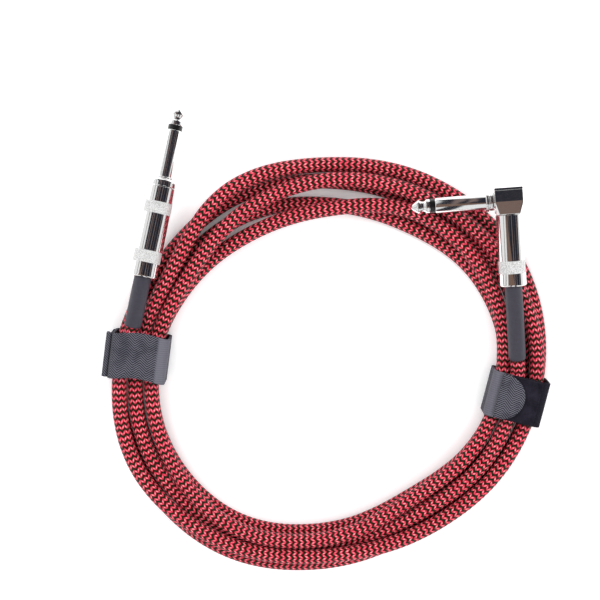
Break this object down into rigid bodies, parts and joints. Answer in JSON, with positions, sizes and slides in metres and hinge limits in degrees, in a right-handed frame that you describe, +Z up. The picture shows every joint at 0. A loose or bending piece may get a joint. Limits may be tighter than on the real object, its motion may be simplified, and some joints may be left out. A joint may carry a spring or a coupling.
{
  "type": "instrument cable",
  "caption": "Braided instrument cable wound into a flat coil under hook-and-loop straps, with a straight jack plug on one end and a right-angle plug on the other.",
  "frame": {"origin": "centre of the bounding box in plan, on the surface the coil lies on", "axes": "+Z up, square to the flat coil; +Y towards the noses of the plugs; +X from the straight plug to the right-angle one"},
  "size_m": [0.1859, 0.1934, 0.0242],
  "materials": {
    "braid": "woven braid, red with near-black zigzags",
    "polished": "bright plated, with frosted bands on the shells",
    "contact": "bright nickel",
    "cap": "dark bright plate",
    "rod": "turned brass",
    "insulator": "black moulded ring and tube",
    "washer": "brown fibre",
    "tinned": "tinned sheet",
    "solder": "bright solder",
    "copper": "bare stranded copper",
    "jacket": "soft black jacket",
    "core": "white insulation",
    "liner": "thin pale tube",
    "boot": "smooth black rubber",
    "webbing": "grey woven webbing",
    "pile": "black loop pile",
    "hooks": "black moulded hooks"
  },
  "bodies": {
    "cable": {"cord_coil": "braid", "straight_tip": "contact", "straight_tip_rod": "rod", "straight_tip_insulator": "insulator", "straight_sleeve": "contact", "straight_rear_washer": "washer", "straight_tip_lug": "tinned", "straight_tip_solder": "solder", "straight_rod_nut": "rod", "straight_ground_clamp": "tinned", "straight_jacket": "jacket", "straight_core": "core", "straight_conductor": "copper", "straight_shield_tail": "copper", "straight_boot": "boot", "angle_tip": "contact", "angle_tip_rod": "rod", "angle_tip_insulator": "insulator", "angle_sleeve": "contact", "angle_head": "polished", "angle_head_cap": "cap", "angle_rear_washer": "washer", "angle_tip_lug": "tinned", "angle_tip_solder": "solder", "angle_rod_nut": "rod", "angle_ground_clamp": "tinned", "angle_jacket": "jacket", "angle_core": "core", "angle_conductor": "copper", "angle_shield_tail": "copper", "angle_boot": "boot", "left_strap_band": "webbing", "left_strap_fold": "webbing", "left_strap_pile": "pile", "right_strap_band": "webbing", "right_strap_fold": "webbing", "right_strap_pile": "pile"},
    "straight_liner_slider": {"straight_liner": "liner"},
    "straight_shell_turner": {"straight_shell": "polished"},
    "angle_liner_slider": {"angle_liner": "liner"},
    "angle_shell_turner": {"angle_shell": "polished"},
    "left_tab": {"left_strap_tab": "webbing", "left_strap_hooks": "hooks"},
    "right_tab": {"right_strap_tab": "webbing", "right_strap_hooks": "hooks"}
  },
  "joints": [
    {"name": "straight_liner_slide", "type": "slide", "parent": "cable", "child": "straight_liner_slider", "axis": [-0.2073, -0.967, 0.1478], "range_m": [0, 0.006]},
    {"name": "straight_shell_turn", "type": "hinge", "parent": "straight_liner_slider", "child": "straight_shell_turner", "pos_m": [-0.06681, 0.06697, 0.00965], "axis": [-0.2073, -0.967, 0.1478], "range_deg": [0, 2880.01]},
    {"name": "angle_liner_slide", "type": "slide", "parent": "cable", "child": "angle_liner_slider", "axis": [0.0732, -0.9973, 0], "range_m": [0, 0.006]},
    {"name": "angle_shell_turn", "type": "hinge", "parent": "angle_liner_slider", "child": "angle_shell_turner", "pos_m": [0.07432, 0.05875, 0.01845], "axis": [0.0732, -0.9973, 0], "range_deg": [0, 2880.01]},
    {"name": "left_tab_hinge", "type": "hinge", "parent": "cable", "child": "left_tab", "pos_m": [-0.09044, -0.00496, 0.01673], "axis": [0.1288, 0.9917, 0], "range_deg": [0, 100]},
    {"name": "right_tab_hinge", "type": "hinge", "parent": "cable", "child": "right_tab", "pos_m": [0.07201, -0.02169, 0.02139], "axis": [-0.2419, -0.9703, 0], "range_deg": [0, 100]}
  ],
  "couplings": [
    {"joint": "straight_shell_turn", "follows": "straight_liner_slide", "rad_per_m": 8377.6},
    {"joint": "angle_shell_turn", "follows": "angle_liner_slide", "rad_per_m": 8377.6}
  ]
}
